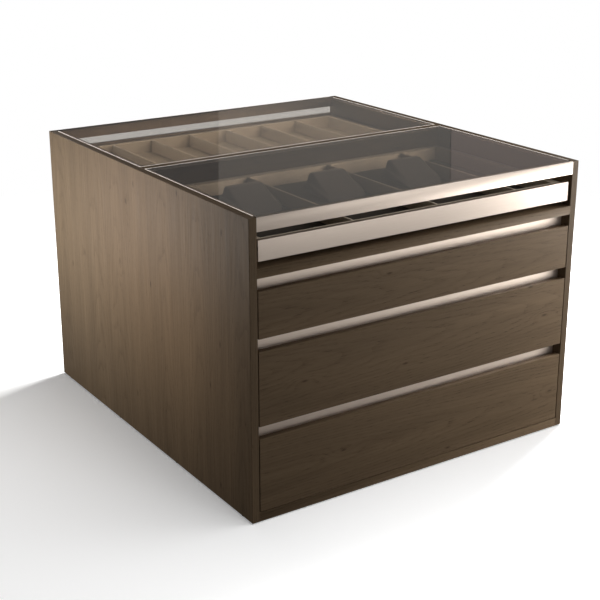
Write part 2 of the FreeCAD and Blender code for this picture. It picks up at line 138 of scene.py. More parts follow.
LEAF = 260 * MM            # one leaf of sliced veneer, joint to joint
PITH_NEAREST = 0.25        # the pith lies at least this share of a leaf from the leaf's joint
PITH_ROAM = 0.5            # and up to this share further
PITH_DEPTH = 42 * MM       # depth of the pith below a face, before taper, bends and chance
PITH_SINK = 84 * MM        # how much deeper chance may put it
LOG_TAPER = 0.045          # how much deeper the pith lies per metre along the grain
BEND = (500 * MM, 110 * MM)       # length and width of the slow bends in the rings
RING_WANDER = 16 * MM      # how far the bends carry a ring, either way
GROWTH_RING = 7 * MM       # really 2 to 3 mm, drawn coarse enough to show in a whole view
EARLY_WOOD = 0.55          # share of a ring that is porous early wood and takes more stain
PORE = (24 * MM, 1.6 * MM)        # length and width, really 5 to 20 mm by 0.2 mm
PORE_LEVELS = (0.52, 0.72)        # noise levels between which a pore opens
LATE_WOOD_PORES = 0.25     # how strongly the pores show outside the early wood
FIBRE = (220 * MM, 6 * MM)        # length and width of the paler and darker fibres
STREAK = (700 * MM, 42 * MM)      # where the stain has taken a little darker or paler
KNOT_EVERY = (560 * MM, 190 * MM)     # spacing of the pin knots, along and across the grain
KNOT_OFFSET = 0.37         # this and the next two are shares of the spacing
KNOT_SWELL = 0.16          # how far round a knot the rings bulge
KNOT_HEART = 0.03          # reach of its dark heart
KNOT_DARKNESS = 0.65       # how much of the heart's colour shows
KNOT_LIFT = 14 * MM        # how far a knot lifts the rings
FIBRE_STAIN, RING_STAIN, LEAST_STAIN = 0.8, 0.18, -0.02
LEAF_SHADE, STREAK_SHADE, LEAST_SHADE = 0.12, 0.5, 0.72
EARLY_WOOD_HOLLOW = 0.4    # how deep the early wood sinks, where an open pore counts 1


def leaf_of_veneer(tree, sideways, leaf_start):
    """Place across one leaf of veneer, from 0 to 1, and three chances that each leaf has."""
    leaf_at = add_node(tree, "ShaderNodeMath", {"operation": "MULTIPLY_ADD"},
                       {0: sideways, 1: 1 / LEAF, 2: leaf_start / LEAF}).outputs[0]
    leaf = add_node(tree, "ShaderNodeMath", {"operation": "FLOOR"}, {0: leaf_at}).outputs[0]
    in_leaf = add_node(tree, "ShaderNodeMath", {"operation": "FRACT"}, {0: leaf_at}).outputs[0]
    chance = add_node(tree, "ShaderNodeTexWhiteNoise", {"noise_dimensions": "1D"}, {"W": leaf})
    chances = add_node(tree, "ShaderNodeSeparateColor", {}, {"Color": chance.outputs["Color"]})
    return in_leaf, chances.outputs


def from_the_knots(tree, lengthways, sideways, face):
    """Distance from the nearest pin knot, as a share of the knots' spacing.

    The face's place shifts them, so that the upright and the level oak have theirs elsewhere.
    """
    knot_at = add_node(tree, "ShaderNodeCombineXYZ", {}, {"X": lengthways, "Y": sideways})
    knot_at = add_node(tree, "ShaderNodeMapping", {}, {
        "Vector": knot_at.outputs[0], "Location": (face, KNOT_OFFSET, 0),
        "Scale": (1 / KNOT_EVERY[0], 1 / KNOT_EVERY[1], 1)})
    return add_node(tree, "ShaderNodeTexVoronoi", {"voronoi_dimensions": "2D"}, {
        "Vector": knot_at.outputs[0], "Scale": 1.0}).outputs["Distance"]


def stained_oak(name, grain, across, depth, face, leaf_start):
    """Oak veneer, stained dark brown and lacquered matt.

    The rings of a tapered log are cut by each leaf, so the grain runs straight near the joints
    and in cathedrals between them. Open pores and pin knots stay darker than the stain round them.
    """
    material, tree, place = new_material(name)
    axes = add_node(tree, "ShaderNodeSeparateXYZ", {}, {"Vector": place}).outputs
    in_leaf, chances = leaf_of_veneer(tree, axes[across], leaf_start)

    # Where the point is from the pith: sideways in the leaf, and below the face.
    sideways = add_node(tree, "ShaderNodeMath", {"operation": "MULTIPLY_ADD"},
                        {0: in_leaf, 1: LEAF, 2: -(PITH_NEAREST + PITH_ROAM) * LEAF}).outputs[0]
    sideways = add_node(tree, "ShaderNodeMath", {"operation": "MULTIPLY_ADD"},
                        {0: chances[0], 1: PITH_ROAM * LEAF, 2: sideways}).outputs[0]
    below = add_node(tree, "ShaderNodeMath", {"operation": "ABSOLUTE"}, {0: axes[depth]}).outputs[0]
    below = add_node(tree, "ShaderNodeMath", {"operation": "ADD"},
                     {0: below, 1: PITH_DEPTH - face}).outputs[0]
    below = add_node(tree, "ShaderNodeMath", {"operation": "MULTIPLY_ADD"},
                     {0: axes[grain], 1: LOG_TAPER, 2: below}).outputs[0]
    below = add_node(tree, "ShaderNodeMath", {"operation": "MULTIPLY_ADD"},
                     {0: chances[1], 1: PITH_SINK, 2: below}).outputs[0]
    bend = long_marks(tree, place, grain, *BEND, detail=3.0)
    below = add_node(tree, "ShaderNodeMath", {"operation": "MULTIPLY_ADD"},
                     {0: bend, 1: 2 * RING_WANDER, 2: below}).outputs[0]

    knot = from_the_knots(tree, axes[grain], axes[across], face)
    swell = add_node(tree, "ShaderNodeMapRange", {"interpolation_type": "SMOOTHSTEP"}, {
        "Value": knot, "From Min": KNOT_SWELL, "From Max": 0.0,
        "To Min": 0.0, "To Max": KNOT_LIFT}).outputs[0]
    below = add_node(tree, "ShaderNodeMath", {"operation": "ADD"}, {0: below, 1: swell}).outputs[0]

    from_pith = add_node(tree, "ShaderNodeCombineXYZ", {}, {"X": sideways, "Y": below}).outputs[0]
    radius = add_node(tree, "ShaderNodeVectorMath", {"operation": "LENGTH"}, {0: from_pith})
    ring = add_node(tree, "ShaderNodeMath", {"operation": "MULTIPLY"},
                    {0: radius.outputs["Value"], 1: 1 / GROWTH_RING}).outputs[0]
    ring = add_node(tree, "ShaderNodeMath", {"operation": "FRACT"}, {0: ring}).outputs[0]
    early = add_node(tree, "ShaderNodeMapRange", {"interpolation_type": "SMOOTHSTEP"}, {
        "Value": ring, "From Min": EARLY_WOOD, "From Max": 0.0,
        "To Min": 0.0, "To Max": 1.0}).outputs[0]

    fibre = long_marks(tree, place, grain, *FIBRE, detail=4.0)
    pore = long_marks(tree, place, grain, *PORE, detail=2.0)
    pore = add_node(tree, "ShaderNodeMapRange", {"interpolation_type": "SMOOTHSTEP"}, {
        "Value": pore, "From Min": PORE_LEVELS[0], "From Max": PORE_LEVELS[1],
        "To Min": 0.0, "To Max": 1.0}).outputs[0]
    open_pore = add_node(tree, "ShaderNodeMath", {"operation": "MULTIPLY_ADD"},
                         {0: early, 1: 1 - LATE_WOOD_PORES, 2: LATE_WOOD_PORES}).outputs[0]
    open_pore = add_node(tree, "ShaderNodeMath", {"operation": "MULTIPLY"},
                         {0: open_pore, 1: pore}).outputs[0]

    stain = add_node(tree, "ShaderNodeMath", {"operation": "MULTIPLY_ADD"},
                     {0: fibre, 1: FIBRE_STAIN, 2: LEAST_STAIN}).outputs[0]
    stain = add_node(tree, "ShaderNodeMath", {"operation": "MULTIPLY_ADD", "use_clamp": True},
                     {0: early, 1: RING_STAIN, 2: stain}).outputs[0]
    colour = add_node(tree, "ShaderNodeMix", {"data_type": "RGBA"}, {
        FACTOR: stain, COLOUR_A: linear("#7B6750"), COLOUR_B: linear("#614F3B")}).outputs[MIXED]
    colour = add_node(tree, "ShaderNodeMix", {"data_type": "RGBA"}, {
        FACTOR: open_pore, COLOUR_A: colour, COLOUR_B: linear("#524434")}).outputs[MIXED]
    heart = add_node(tree, "ShaderNodeMapRange", {"interpolation_type": "SMOOTHSTEP"}, {
        "Value": knot, "From Min": KNOT_HEART, "From Max": 0.0,
        "To Min": 0.0, "To Max": KNOT_DARKNESS}).outputs[0]
    colour = add_node(tree, "ShaderNodeMix", {"data_type": "RGBA"}, {
        FACTOR: heart, COLOUR_A: colour, COLOUR_B: linear("#33271C")}).outputs[MIXED]
    streak = long_marks(tree, place, grain, *STREAK, detail=2.0)
    shade = add_node(tree, "ShaderNodeMath", {"operation": "MULTIPLY_ADD"},
                     {0: chances[2], 1: LEAF_SHADE, 2: LEAST_SHADE}).outputs[0]
    shade = add_node(tree, "ShaderNodeMath", {"operation": "MULTIPLY_ADD"},
                     {0: streak, 1: STREAK_SHADE, 2: shade}).outputs[0]
    colour = add_node(tree, "ShaderNodeHueSaturation", {}, {"Value": shade, "Color": colour})

    lacquer = add_node(tree, "ShaderNodeMapRange", {}, {
        "Value": fibre, "From Min": NOISE_LOW, "From Max": NOISE_HIGH, "To Min": 0.5, "To Max": 0.62})
    relief = add_node(tree, "ShaderNodeMath", {"operation": "MULTIPLY_ADD"},
                      {0: early, 1: EARLY_WOOD_HOLLOW, 2: open_pore}).outputs[0]
    relief = add_node(tree, "ShaderNodeBump", {"invert": True},
                      {"Strength": 0.35, "Distance": 0.2 * MM, "Height": relief})
    oak = add_node(tree, "ShaderNodeBsdfPrincipled", {}, {
        "Base Color": colour.outputs[0], "Roughness": lacquer.outputs[0], "IOR": 1.5,
        "Specular IOR Level": 0.14, "Normal": relief.outputs[0]})
    add_node(tree, "ShaderNodeOutputMaterial", {}, {"Surface": oak.outputs[0]})
    return material


# ---------------------------------------------------------------- metal and glass

BRUSH_MARK = (90 * MM, 1.5 * MM)  # really under 0.1 mm wide, drawn as wide as the streaks it leaves
BLOOM_PER_METRE = 45       # cloudy patches of the zinc, about 22 mm wide
ROLL_MARK = (60 * MM, 1 * MM)     # length and width of a mark that the mill's rolls leave
HAZE_PER_METRE = 9         # faint unevenness of a wiped pane, in patches of about 110 mm
SMOKE = linear("#E4DED6")


def champagne_aluminium(name, smoothest, dullest):
    """Extruded aluminium, brushed lengthways and anodised champagne: soft long highlights.

    The roughness runs between two levels with the brushing: satin on the rails, the trims and the
    jewel drawers' fronts, and matt in the grips.
    """
    material, tree, place = new_material(name)
    brush = long_marks(tree, place, X, *BRUSH_MARK, detail=3.0)
    colour = add_node(tree, "ShaderNodeMix", {"data_type": "RGBA"}, {
        FACTOR: brush, COLOUR_A: linear("#DACCBF"), COLOUR_B: linear("#D0C0B2")}).outputs[MIXED]
    satin = add_node(tree, "ShaderNodeMapRange", {}, {
        "Value": brush, "From Min": NOISE_LOW, "From Max": NOISE_HIGH,
        "To Min": smoothest, "To Max": dullest})
    lines = add_node(tree, "ShaderNodeBump", {},
                     {"Strength": 0.25, "Distance": 0.05 * MM, "Height": brush})
    metal = add_node(tree, "ShaderNodeBsdfPrincipled", {}, {
        "Base Color": colour, "Metallic": 1.0, "Roughness": satin.outputs[0],
        "Normal": lines.outputs[0]})
    add_node(tree, "ShaderNodeOutputMaterial", {}, {"Surface": metal.outputs[0]})
    return material


def zinc_plated_steel():
    """Cold-rolled steel, bright zinc plated: cool grey with a faint cloudy bloom and roll marks."""
    material, tree, place = new_material("zinc_plated_steel")
    bloom = add_node(tree, "ShaderNodeTexNoise", {}, {
        "Vector": place, "Scale": BLOOM_PER_METRE, "Detail": 5.0}).outputs[0]
    rolled = long_marks(tree, place, Y, *ROLL_MARK, detail=2.0)
    colour = add_node(tree, "ShaderNodeMix", {"data_type": "RGBA"}, {
        FACTOR: bloom, COLOUR_A: linear("#C9CBCC"), COLOUR_B: linear("#A9ADB0")}).outputs[MIXED]
    dull = add_node(tree, "ShaderNodeMapRange", {}, {
        "Value": bloom, "From Min": NOISE_LOW, "From Max": NOISE_HIGH, "To Min": 0.28, "To Max": 0.45})
    marks = add_node(tree, "ShaderNodeBump", {},
                     {"Strength": 0.3, "Distance": 0.05 * MM, "Height": rolled})
    metal = add_node(tree, "ShaderNodeBsdfPrincipled", {}, {
        "Base Color": colour, "Metallic": 1.0, "Roughness": dull.outputs[0],
        "Normal": marks.outputs[0]})
    add_node(tree, "ShaderNodeOutputMaterial", {}, {"Surface": metal.outputs[0]})
    return material


def smoked_glass():
    """Float glass with a faint bronze-grey smoke: clear enough to show the trays, and polished."""
    material, tree, place = new_material("smoked_float_glass")
    haze = add_node(tree, "ShaderNodeTexNoise", {}, {
        "Vector": place, "Scale": HAZE_PER_METRE, "Detail": 3.0}).outputs[0]
    polish = add_node(tree, "ShaderNodeMapRange", {}, {
        "Value": haze, "From Min": NOISE_LOW, "From Max": NOISE_HIGH, "To Min": 0.0, "To Max": 0.02})
    glass = add_node(tree, "ShaderNodeBsdfPrincipled", {}, {
        "Base Color": SMOKE, "Roughness": polish.outputs[0], "IOR": 1.5, "Transmission Weight": 1.0})
    # Light for what lies under the pane passes straight through it, tinted.
    shade = add_node(tree, "ShaderNodeBsdfTransparent", {}, {"Color": SMOKE})
    path = add_node(tree, "ShaderNodeLightPath").outputs
    let_by = add_node(tree, "ShaderNodeMath", {"operation": "MAXIMUM"},
                      {0: path["Is Shadow Ray"], 1: path["Is Diffuse Ray"]}).outputs[0]
    pane = add_node(tree, "ShaderNodeMixShader", {}, {
        0: let_by, 1: glass.outputs[0], 2: shade.outputs[0]})
    add_node(tree, "ShaderNodeOutputMaterial", {}, {"Surface": pane.outputs[0]})
    return material


# ---------------------------------------------------------------- trays, drawer boxes and small parts

HIDE_PEBBLE = 1.6 * MM     # really 0.5 to 1 mm, drawn coarse enough to show
DYE_CLOUDS_PER_METRE = 14  # clouds of about 70 mm
FLOOR_COLOUR_EDGE = (2 * MM, 1 * MM)       # heights over the tray's floor where the floor's colour ends and is full
PILE_TUFT = 1.2 * MM       # really 0.3 mm, drawn coarse enough to show
NAP_PER_METRE = 22         # patches of about 45 mm where the pile lies one way
TUFT_SHADE = 0.5           # how much a single tuft counts beside the nap
YARN = 1.8 * MM            # the printed weave's threads, really 0.6 mm
SLUB = 14 * YARN           # how far a thread keeps its thickness
THREAD_LEVELS = (0.4, 0.72)       # noise levels between which a thread stands out
FLECK = (3 * MM, 0.5 * MM)        # length and width of beech's dark rays
FLECK_LEVELS = (0.5, 0.7)         # noise levels between which a ray shows
SPARK_GRIT = 1 * MM        # really 0.1 mm, drawn coarse enough to show


def tray_leather(name, floor_colour, floor_top):
    """Taupe bonded leather glued over the tray and its dividers, and a floor of another colour.

    The leather is matt with a fine pebble grain. The floor's colour fades in at the foot of the walls.
    """
    material, tree, place = new_material(name)
    pebble = add_node(tree, "ShaderNodeTexVoronoi", {}, {
        "Vector": place, "Scale": 1 / HIDE_PEBBLE}).outputs["Distance"]
    cloud = add_node(tree, "ShaderNodeTexNoise", {}, {
        "Vector": place, "Scale": DYE_CLOUDS_PER_METRE, "Detail": 4.0}).outputs[0]
    colour = add_node(tree, "ShaderNodeMix", {"data_type": "RGBA"}, {
        FACTOR: cloud, COLOUR_A: linear("#BCB3A7"), COLOUR_B: linear("#ABA295")}).outputs[MIXED]
    height = add_node(tree, "ShaderNodeSeparateXYZ", {}, {"Vector": place}).outputs[Z]
    on_floor = add_node(tree, "ShaderNodeMapRange", {"interpolation_type": "SMOOTHSTEP"}, {
        "Value": height, "From Min": floor_top + FLOOR_COLOUR_EDGE[0], "From Max": floor_top + FLOOR_COLOUR_EDGE[1],
        "To Min": 0.0, "To Max": 1.0}).outputs[0]
    colour = add_node(tree, "ShaderNodeMix", {"data_type": "RGBA"}, {
        FACTOR: on_floor, COLOUR_A: colour, COLOUR_B: linear(floor_colour)}).outputs[MIXED]
    colour = add_node(tree, "ShaderNodeMix", {"data_type": "RGBA", "blend_type": "MULTIPLY"}, {
        FACTOR: pebble, COLOUR_A: colour, COLOUR_B: linear("#C9BEB0")}).outputs[MIXED]
    dull = add_node(tree, "ShaderNodeMapRange", {}, {"Value": on_floor, "To Min": 0.62, "To Max": 0.9})
    grain = add_node(tree, "ShaderNodeBump", {"invert": True},
                     {"Strength": 0.35, "Distance": 0.2 * MM, "Height": pebble})
    leather = add_node(tree, "ShaderNodeBsdfPrincipled", {}, {
        "Base Color": colour, "Roughness": dull.outputs[0], "IOR": 1.48, "Normal": grain.outputs[0]})
    add_node(tree, "ShaderNodeOutputMaterial", {}, {"Surface": leather.outputs[0]})
    return material


def bust_velvet():
    """Charcoal velvet flocked on a moulded form: dark face on, paler where the pile is seen aslant."""
    material, tree, place = new_material("charcoal_flock_velvet")
    tuft = add_node(tree, "ShaderNodeTexNoise", {}, {
        "Vector": place, "Scale": 1 / PILE_TUFT, "Detail": 2.0}).outputs[0]
    nap = add_node(tree, "ShaderNodeTexNoise", {}, {
        "Vector": place, "Scale": NAP_PER_METRE, "Detail": 3.0}).outputs[0]
    nap = add_node(tree, "ShaderNodeMath", {"operation": "MULTIPLY_ADD", "use_clamp": True},
                   {0: tuft, 1: TUFT_SHADE, 2: nap}).outputs[0]
    colour = add_node(tree, "ShaderNodeMix", {"data_type": "RGBA"}, {
        FACTOR: nap, COLOUR_A: linear("#221F1F"), COLOUR_B: linear("#3A3534")}).outputs[MIXED]
    pile = add_node(tree, "ShaderNodeBump", {},
                    {"Strength": 0.4, "Distance": 0.3 * MM, "Height": tuft})
    velvet = add_node(tree, "ShaderNodeBsdfPrincipled", {}, {
        "Base Color": colour, "Roughness": 0.9, "IOR": 1.45, "Sheen Weight": 0.6,
        "Sheen Roughness": 0.4, "Sheen Tint": linear("#8F8682"), "Normal": pile.outputs[0]})
    add_node(tree, "ShaderNodeOutputMaterial", {}, {"Surface": velvet.outputs[0]})
    return material


def linen_laminate():
    """Melamine board with a printed and embossed linen weave: matt, warm grey, crossed threads."""
    material, tree, place = new_material("linen_melamine_laminate")
    level, upright = [long_marks(tree, place, axis, SLUB, YARN, detail=1.0) for axis in (X, Z)]
    weave = add_node(tree, "ShaderNodeMath", {"operation": "MAXIMUM"}, {0: level, 1: upright})
    weave = add_node(tree, "ShaderNodeMapRange", {}, {
        "Value": weave.outputs[0], "From Min": THREAD_LEVELS[0], "From Max": THREAD_LEVELS[1],
        "To Min": 0.0, "To Max": 1.0}).outputs[0]
    colour = add_node(tree, "ShaderNodeMix", {"data_type": "RGBA"}, {
        FACTOR: weave, COLOUR_A: linear("#8E8272"), COLOUR_B: linear("#B3A796")}).outputs[MIXED]
    emboss = add_node(tree, "ShaderNodeBump", {},
                      {"Strength": 0.3, "Distance": 0.1 * MM, "Height": weave})
    laminate = add_node(tree, "ShaderNodeBsdfPrincipled", {}, {
        "Base Color": colour, "Roughness": 0.55, "IOR": 1.5, "Normal": emboss.outputs[0]})
    add_node(tree, "ShaderNodeOutputMaterial", {}, {"Surface": laminate.outputs[0]})
    return material


def turned_beech():
    """Plain steamed beech dowel rod: pale pinkish tan with short dark flecks along the grain."""
    material, tree, place = new_material("steamed_beech")
    fleck = long_marks(tree, place, X, *FLECK, detail=2.0)
    fleck = add_node(tree, "ShaderNodeMapRange", {}, {
        "Value": fleck, "From Min": FLECK_LEVELS[0], "From Max": FLECK_LEVELS[1],
        "To Min": 0.0, "To Max": 1.0}).outputs[0]
    colour = add_node(tree, "ShaderNodeMix", {"data_type": "RGBA"}, {
        FACTOR: fleck, COLOUR_A: linear("#D2AE84"), COLOUR_B: linear("#A67C52")}).outputs[MIXED]
    beech = add_node(tree, "ShaderNodeBsdfPrincipled", {}, {
        "Base Color": colour, "Roughness": 0.6, "IOR": 1.5})
    add_node(tree, "ShaderNodeOutputMaterial", {}, {"Surface": beech.outputs[0]})
    return material


def moulded_polyethylene():
    """Black moulded polyethylene glide: waxy, with a fine spark-eroded texture."""
    material, tree, place = new_material("moulded_black_polyethylene")
    grit = add_node(tree, "ShaderNodeTexNoise", {}, {
        "Vector": place, "Scale": 1 / SPARK_GRIT, "Detail": 2.0}).outputs[0]
    colour = add_node(tree, "ShaderNodeMix", {"data_type": "RGBA"}, {
        FACTOR: grit, COLOUR_A: linear("#181818"), COLOUR_B: linear("#2B2A29")}).outputs[MIXED]
    spark = add_node(tree, "ShaderNodeBump", {},
                     {"Strength": 0.3, "Distance": 0.1 * MM, "Height": grit})
    plastic = add_node(tree, "ShaderNodeBsdfPrincipled", {}, {
        "Base Color": colour, "Roughness": 0.5, "IOR": 1.51, "Normal": spark.outputs[0]})
    add_node(tree, "ShaderNodeOutputMaterial", {}, {"Surface": plastic.outputs[0]})
    return material


# ---------------------------------------------------------------- finishes on the CAD nodes

UPRIGHT_LEAF_START = 280 * MM     # sets where the side panels' leaf joints fall

carcass_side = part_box("side_panel_left")[0].x
front_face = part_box("drawer_front_front_upper")[0].y
fronts_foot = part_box("drawer_front_front_lower")[0].z
grip_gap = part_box("drawer_front_front_middle")[0].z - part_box("drawer_front_front_lower")[1].z
tray_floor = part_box("necklace_busts")[0].z

oak_upright = stained_oak("stained_oak_upright_grain", grain=Z, across=Y, depth=X,
                          face=abs(carcass_side), leaf_start=UPRIGHT_LEAF_START)
# A leaf joint lies in each gap between wooden fronts, so that a front is faced with a single leaf.
oak_level = stained_oak("stained_oak_level_grain", grain=X, across=Z, depth=Y,
                        face=abs(front_face), leaf_start=grip_gap / 2 - fronts_foot)
satin_aluminium = champagne_aluminium("champagne_satin_aluminium", smoothest=0.32, dullest=0.44)
matt_aluminium = champagne_aluminium("champagne_matt_aluminium", smoothest=0.5, dullest=0.6)
glass = smoked_glass()
# The front tray's floor is drawn charcoal, far darker than the rear tray's taupe floor.
dark_leather = tray_leather("taupe_leather_charcoal_mat", "#322E2A", tray_floor)
pale_leather = tray_leather("taupe_leather_taupe_mat", "#9A9184", tray_floor)
plain_leather = tray_leather("taupe_leather", "#ABA295", 0.0)   # with the floor at 0, the floor's colour shows nowhere
velvet = bust_velvet()
laminate = linen_laminate()
steel = zinc_plated_steel()
beech = turned_beech()
polyethylene = moulded_polyethylene()

FINISHES = {
    "side_panel": oak_upright,
    "base_panel": oak_level,
    "centre_divider": oak_level,
    "shelf": oak_level,
    "drawer_front": oak_level,
    "glass_top": glass,
    "glass_trim": satin_aluminium,
    "top_rail": satin_aluminium,
    "grip_profile": matt_aluminium,
    "jewel_front": satin_aluminium,
    "tray_lining_front": dark_leather,
    "tray_lining_rear": pale_leather,
    "tray_dividers": pale_leather,
    "necklace_busts": velvet,
    "drawer_box": laminate,
    "jewel_box": plain_leather,
    "cabinet_runners": steel,
    "middle_runners": steel,
    "drawer_runners": steel,
    "runner_screws": steel,
    "carcass_dowels": beech,
    "floor_glides": polyethylene,
}


def dress(thing, material):
    """Give an object one material."""
    thing.data.materials.clear()
    thing.data.materials.append(material)


for name, node in frame["nodes"].items():
    kind = next(k for k in FINISHES if name.startswith(k))
    dress(node, FINISHES[kind])


# ---------------------------------------------------------------- softened edges

SHARP = math.radians(30)    # an edge that turns more than this is rounded
FLAT = math.radians(0.5)    # faces that turn less than this are one face
WELD = 0.01 * MM            # points nearer than this are one point
BEVEL_STEPS = 2
ROUNDED = {
    # kind of node made of single boards or bars: edge radius
    "drawer_front": 0.8 * MM,
    "shelf": 0.8 * MM,
    "centre_divider": 0.8 * MM,
    "base_panel": 0.8 * MM,
    "jewel_front": 0.6 * MM,
    "top_rail": 0.4 * MM,
    "tray_dividers": 1.8 * MM,
}
BOX_WALL = 14 * MM
BOX_FLOOR = 6 * MM
WOODEN_DRAWER_RAISE = 8 * MM   # from the foot of the drawer's sides up to its floor
BOX_EDGE = 1.0 * MM
LINING_WALL = 13 * MM
LINING_BASE = 3 * MM
LINING_EDGE = 1.8 * MM


def stand_in(node_name, shape, radius):
    """Make a piece of a shape, with rounded edges, that stands for a CAD node."""
    node = frame["nodes"][node_name]
    mesh = bpy.data.meshes.new(node_name + "_rounded")
    bmesh.ops.recalc_face_normals(shape, faces=shape.faces)
    shape.to_mesh(mesh)
    shape.free()
    mesh.shade_smooth()
    piece = bpy.data.objects.new(mesh.name, mesh)
    SHOWN.objects.link(piece)
    dress(piece, node.data.materials[0])
    rounding = piece.modifiers.new("rounded_edges", "BEVEL")
    rounding.width = radius
    rounding.segments = BEVEL_STEPS
    rounding.limit_method = "ANGLE"
    rounding.angle_limit = SHARP
    rounding.harden_normals = True
    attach(piece, body_of(node)[0])
    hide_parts(node_name)


def copied_shape(node_name):
    """The CAD node's own shape, with its triangles joined into whole faces."""
    shape = bmesh.new()
    shape.from_mesh(frame["nodes"][node_name].data)
    bmesh.ops.remove_doubles(shape, verts=shape.verts, dist=WELD)
    bmesh.ops.dissolve_limit(shape, angle_limit=FLAT, verts=shape.verts, edges=shape.edges)
    return shape


def add_board(shape, low, high):
    """A board between two corners."""
    middle = (low + high) / 2
    made = bmesh.ops.create_cube(shape, size=1.0)
    bmesh.ops.scale(shape, vec=high - low, verts=made["verts"])
    bmesh.ops.translate(shape, vec=middle, verts=made["verts"])


def box_shape(node_name, floor_raise):
    """A drawer box: two full-length sides, front and back between them, and a floor inside."""
    low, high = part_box(node_name)
    floor_low = low.z + floor_raise
    inside_low = Vector((low.x + BOX_WALL, low.y + BOX_WALL, floor_low))
    inside_high = Vector((high.x - BOX_WALL, high.y - BOX_WALL, floor_low + BOX_FLOOR))
    shape = bmesh.new()
    add_board(shape, low, Vector((inside_low.x, high.y, high.z)))
    add_board(shape, Vector((inside_high.x, low.y, low.z)), high)
    add_board(shape, Vector((inside_low.x, low.y, low.z)),
              Vector((inside_high.x, inside_low.y, high.z)))
    add_board(shape, Vector((inside_low.x, inside_high.y, low.z)),
              Vector((inside_high.x, high.y, high.z)))
    add_board(shape, inside_low, inside_high)
    return shape


def corners_at(shape, low, high, inset, z):
    """Four corner points of a rectangle, inset from a box's sides, at one height."""
    xs = (low.x + inset, high.x - inset)
    ys = (low.y + inset, high.y - inset)
    turns = ((0, 0), (1, 0), (1, 1), (0, 1))
    return [shape.verts.new((xs[right], ys[back], z)) for right, back in turns]


def lining_shape(node_name):
    """The tray's lining as one wrapped piece: four walls and a base, open at the top."""
    low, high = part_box(node_name)
    shape = bmesh.new()
    levels = [corners_at(shape, low, high, inset, z) for inset, z in (
        (0.0, low.z), (0.0, high.z), (LINING_WALL, high.z), (LINING_WALL, low.z + LINING_BASE))]
    for ring, following in zip(levels, levels[1:]):
        for side in range(len(ring)):
            ahead = (side + 1) % len(ring)
            shape.faces.new((ring[side], ring[ahead], following[ahead], following[side]))
    shape.faces.new(levels[0][::-1])
    shape.faces.new(levels[-1])
    return shape


for name in list(frame["nodes"]):
    for kind, radius in ROUNDED.items():
        if name.startswith(kind):
            stand_in(name, copied_shape(name), radius)
    if name.startswith("drawer_box"):
        stand_in(name, box_shape(name, WOODEN_DRAWER_RAISE), BOX_EDGE)
    if name.startswith("jewel_box"):
        stand_in(name, box_shape(name, 0.0), BOX_EDGE)
    if name.startswith("tray_lining"):
        stand_in(name, lining_shape(name), LINING_EDGE)


# ---------------------------------------------------------------- necklace busts

BUST_STATIONS = (
    # millimetres: reach behind the chest's edge, half width, height of the shoulders and of the neck
    (0, 60, 4, 4),
    (3, 66, 10, 10),
    (12, 73, 17, 17),
    (36, 79, 27, 31),
    (66, 82, 36, 47),
    (90, 82, 42, 61),
    (102, 82, 44, 69),
    (108, 82, 44, 70),
    (126, 82, 44, 70),
    (130, 81, 42, 68),
)
BUST_POINTS = 34           # steps round each section, over the top
BUST_SQUARENESS = 9        # a section is an ellipse at 2 and nearly a box at 9
NECK = (60, 72)            # half the neck's width in millimetres, at its top and at the shoulders
BUST_SMOOTHING = 1         # how many times the faces are split


def bust_section(reach, half_width, shoulder, neck):
    """The points over the top of one section, from its left foot to its right."""
    points = []
    for step in range(BUST_POINTS + 1):
        turn = math.pi * (1 - step / BUST_POINTS)
        side = math.copysign(abs(math.cos(turn)) ** (2 / BUST_SQUARENESS), math.cos(turn))
        rise = math.sin(turn) ** (2 / BUST_SQUARENESS) if step % BUST_POINTS else 0.0
        x = half_width * side
        # from 0 on the neck to 1 on the shoulder, and eased between them
        down = min(max((abs(x) - NECK[0]) / (NECK[1] - NECK[0]), 0.0), 1.0)
        top = neck + (shoulder - neck) * down * down * (3 - 2 * down)
        points.append((x * MM, reach * MM, top * rise * MM))
    return points


def make_bust(name, centre, front, floor):
    """A velvet-covered display form lying with its chest to the front and its neck raised."""
    mesh = bpy.data.meshes.new(name)
    bust = bpy.data.objects.new(name, mesh)
    SHOWN.objects.link(bust)
    shape = bmesh.new()
    rows = []
    for station in BUST_STATIONS:
        places = [(centre + x, front + y, floor + z) for x, y, z in bust_section(*station)]
        rows.append([shape.verts.new(place) for place in places])
    for near, off in zip(rows, rows[1:]):
        for left in range(BUST_POINTS):
            shape.faces.new((near[left], near[left + 1], off[left + 1], off[left]))
        shape.faces.new((near[-1], near[0], off[0], off[-1]))
    shape.faces.new(rows[0][::-1])
    shape.faces.new(rows[-1])
    bmesh.ops.recalc_face_normals(shape, faces=shape.faces)
    shape.to_mesh(mesh)
    shape.free()
    mesh.shade_smooth()
    smooth = bust.modifiers.new("smooth_form", "SUBSURF")
    smooth.levels = BUST_SMOOTHING
    smooth.render_levels = BUST_SMOOTHING
    dress(bust, velvet)
    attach(bust, "front_jewel_drawer")
    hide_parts("necklace_busts")


busts_low, busts_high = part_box("necklace_busts")
bust_half = max(half_width for _, half_width, _, _ in BUST_STATIONS) * MM
first_bust = busts_low.x + bust_half
last_bust = busts_high.x - bust_half
for name, centre in (("bust_left", first_bust), ("bust_middle", (first_bust + last_bust) / 2),
                     ("bust_right", last_bust)):
    make_bust(name, centre, busts_low.y, busts_low.z)


# ---------------------------------------------------------------- studio

FLOOR_HALF = 12.0          # half the floor's side
LIT_FLOOR = (1.9, 3.2)     # the floor fades from lit to plain white between these radii
FLOOR_LIFT = 0.24          # the lit part's own glow, so that the shadow stays pale
FLOOR_BOUNCE = 0.09        # the floor is white to the camera, and throws little light back up
AMBIENT = 0.1              # the world's light on the island, and its brightness in reflections
MIRRORED = 0.3             # how bright the plain white floor is in reflections
NO_MIRROR_YET = 0.5        # a ray below this glossy depth has met no glossy surface


